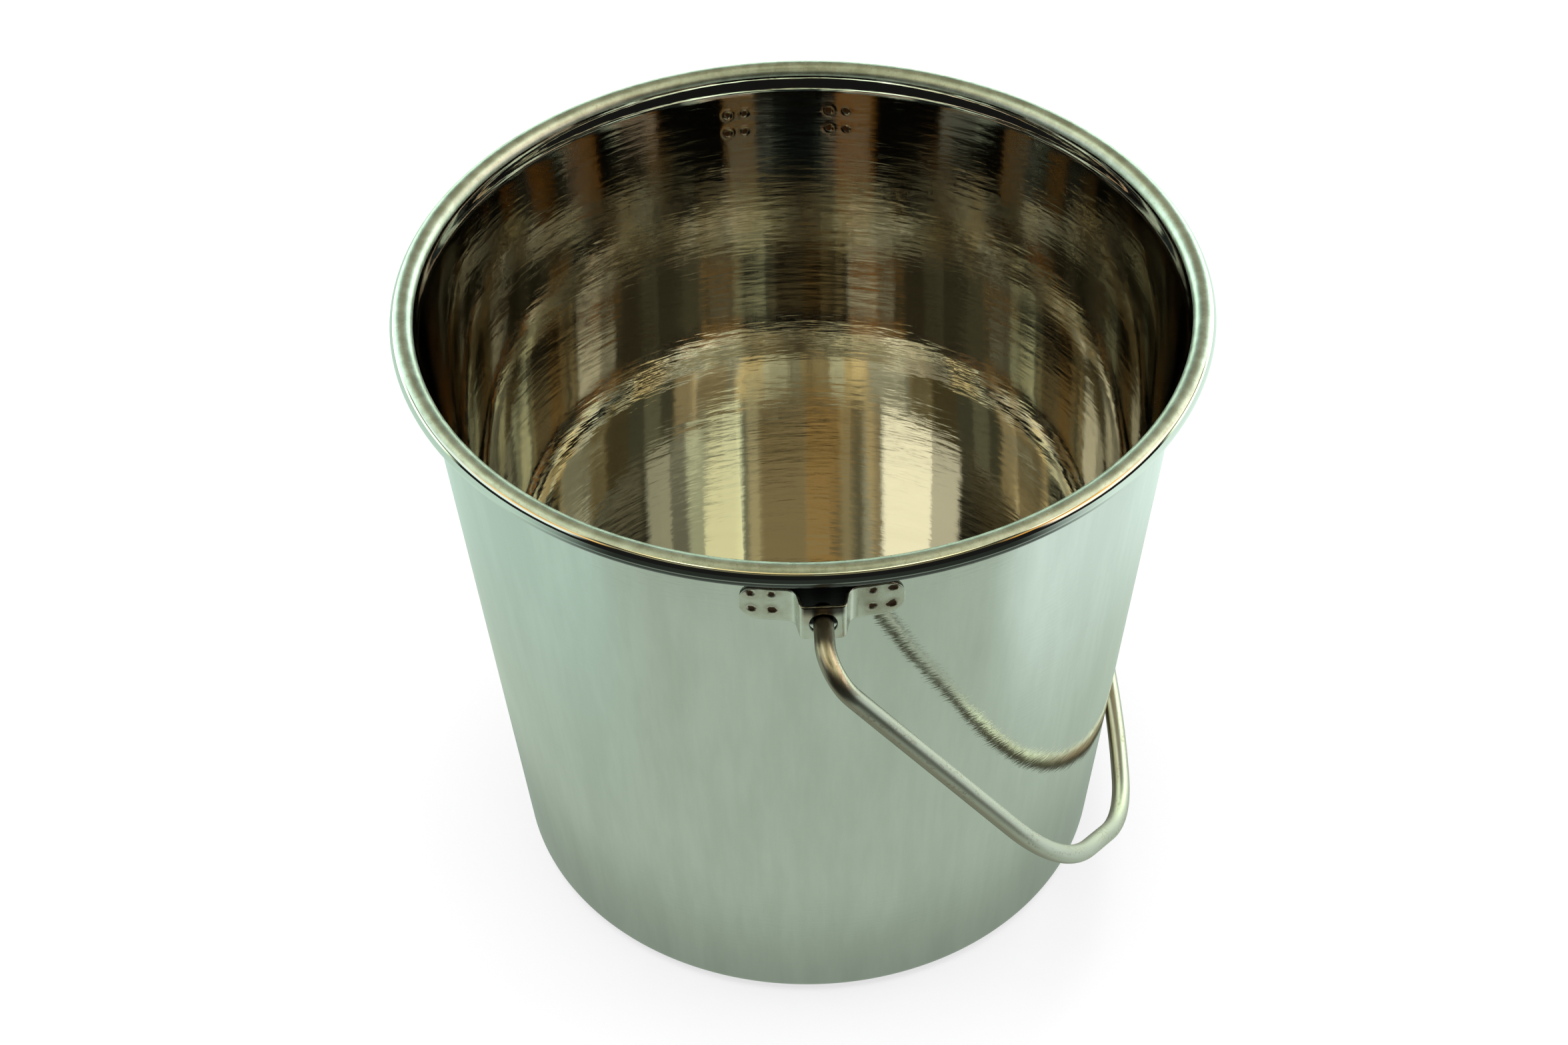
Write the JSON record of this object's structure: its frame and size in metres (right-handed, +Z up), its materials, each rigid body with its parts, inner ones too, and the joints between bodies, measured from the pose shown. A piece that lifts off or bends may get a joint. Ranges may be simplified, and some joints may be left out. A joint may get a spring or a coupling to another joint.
{
  "type": "milk pail",
  "caption": "Tapered stainless milk pail with a rolled rim, spot-welded hat-section ears and a swinging bent-rod bail.",
  "frame": {"origin": "centre of the base's underside", "axes": "+Z up; the bail's pivot axis runs along Y; the bail hangs on the +X side"},
  "size_m": [0.2999, 0.348, 0.2585],
  "materials": {
    "body_steel": "polished stainless sheet with fine circular polishing lines",
    "ear_steel": "satin stainless strip with brown heat tint round the welds",
    "weld_tint": "dull brown heat-tinted weld nuggets",
    "bail_steel": "drawn stainless rod, scuffed at the bends"
  },
  "bodies": {
    "pail": {"pail_body": "body_steel", "front_ear": "ear_steel", "rear_ear": "ear_steel", "front_spot_welds": "weld_tint", "rear_spot_welds": "weld_tint"},
    "bail": {"bail": "bail_steel"}
  },
  "joints": [
    {"name": "bail_pivot", "type": "hinge", "parent": "pail", "child": "bail", "pos_m": [0, 0, 0.2338], "axis": [0, -1, 0], "range_deg": [0, 292.8]}
  ]
}
